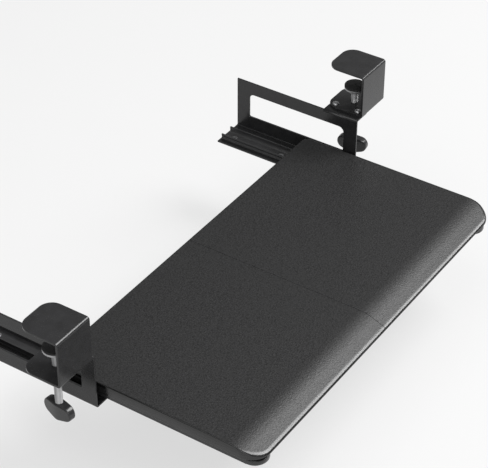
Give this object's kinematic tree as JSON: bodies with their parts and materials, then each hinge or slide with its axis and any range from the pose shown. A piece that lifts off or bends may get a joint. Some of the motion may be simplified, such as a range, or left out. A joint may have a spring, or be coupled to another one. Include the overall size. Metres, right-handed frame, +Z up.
{
  "type": "keyboard tray",
  "caption": "Clamp-on under-desk keyboard tray: a seamed black board with a sloping front lip slides on ball runners held by windowed steel arms under screw clamps.",
  "frame": {"origin": "middle of the tray's top surface, with the tray pulled out as in the picture", "axes": "+X along the desk's edge to the user's right, +Y away from the user under the desk, +Z up"},
  "size_m": [0.734, 0.423, 0.152],
  "materials": {
    "powder_coat": "satin black powder coat",
    "slide_steel": "black coated sheet steel",
    "board_film": "fibreboard under a fine-grained matt black film",
    "rubber": "matt black rubber",
    "knob_plastic": "moulded black plastic",
    "bare_steel": "bright bare steel",
    "zinc": "zinc plated",
    "beech": "plain fluted beech"
  },
  "bodies": {
    "desk_frame": {"left_clamp_bracket": "powder_coat", "right_clamp_bracket": "powder_coat", "left_jaw_pad": "rubber", "right_jaw_pad": "rubber", "left_clamp_nut": "powder_coat", "right_clamp_nut": "powder_coat", "left_arm": "powder_coat", "right_arm": "powder_coat", "left_arm_bolts": "zinc", "right_arm_bolts": "zinc", "left_arm_nuts": "zinc", "right_arm_nuts": "zinc", "left_fixed_rail": "slide_steel", "right_fixed_rail": "slide_steel", "left_rail_screws": "zinc", "right_rail_screws": "zinc", "left_rail_nuts": "zinc", "right_rail_nuts": "zinc", "left_rail_stop": "rubber", "right_rail_stop": "rubber"},
    "tray": {"left_board": "board_film", "right_board": "board_film", "left_runner": "slide_steel", "right_runner": "slide_steel", "left_runner_tab": "slide_steel", "right_runner_tab": "slide_steel", "left_runner_cap": "knob_plastic", "right_runner_cap": "knob_plastic", "left_runner_screws": "zinc", "right_runner_screws": "zinc", "left_cap_screw": "zinc", "right_cap_screw": "zinc", "seam_dowels": "beech", "front_joiner_plate": "powder_coat", "rear_joiner_plate": "powder_coat", "joiner_screws": "zinc"},
    "left_cage": {"left_ball_cage": "zinc", "left_balls": "bare_steel"},
    "left_pad": {"left_pressure_cup": "bare_steel", "left_pressure_pad": "rubber"},
    "left_screw": {"left_clamp_screw": "bare_steel", "left_screw_clip": "zinc", "left_wing_knob": "knob_plastic", "left_knob_pin": "zinc"},
    "right_cage": {"right_ball_cage": "zinc", "right_balls": "bare_steel"},
    "right_pad": {"right_pressure_cup": "bare_steel", "right_pressure_pad": "rubber"},
    "right_screw": {"right_clamp_screw": "bare_steel", "right_screw_clip": "zinc", "right_wing_knob": "knob_plastic", "right_knob_pin": "zinc"}
  },
  "joints": [
    {"name": "tray_slide", "type": "slide", "parent": "desk_frame", "child": "tray", "axis": [0, 1, 0], "range_m": [0, 0.215]},
    {"name": "left_cage_roll", "type": "slide", "parent": "desk_frame", "child": "left_cage", "axis": [0, 1, 0], "range_m": [0, 0.1075]},
    {"name": "left_pad_lift", "type": "slide", "parent": "desk_frame", "child": "left_pad", "axis": [0, 0, 1], "range_m": [-0.016, 0.024]},
    {"name": "left_screw_turn", "type": "hinge", "parent": "left_pad", "child": "left_screw", "pos_m": [-0.337, 0.1, 0], "axis": [0, 0, 1], "range_deg": [-3841, 5761]},
    {"name": "right_cage_roll", "type": "slide", "parent": "desk_frame", "child": "right_cage", "axis": [0, 1, 0], "range_m": [0, 0.1075]},
    {"name": "right_pad_lift", "type": "slide", "parent": "desk_frame", "child": "right_pad", "axis": [0, 0, 1], "range_m": [-0.016, 0.024]},
    {"name": "right_screw_turn", "type": "hinge", "parent": "right_pad", "child": "right_screw", "pos_m": [0.337, 0.1, 0], "axis": [0, 0, 1], "range_deg": [-3841, 5761]}
  ],
  "couplings": [
    {"joint": "left_cage_roll", "follows": "tray_slide", "ratio": 0.5},
    {"joint": "left_screw_turn", "follows": "left_pad_lift", "rad_per_m": 4188.8},
    {"joint": "right_cage_roll", "follows": "tray_slide", "ratio": 0.5},
    {"joint": "right_screw_turn", "follows": "right_pad_lift", "rad_per_m": 4188.8}
  ]
}
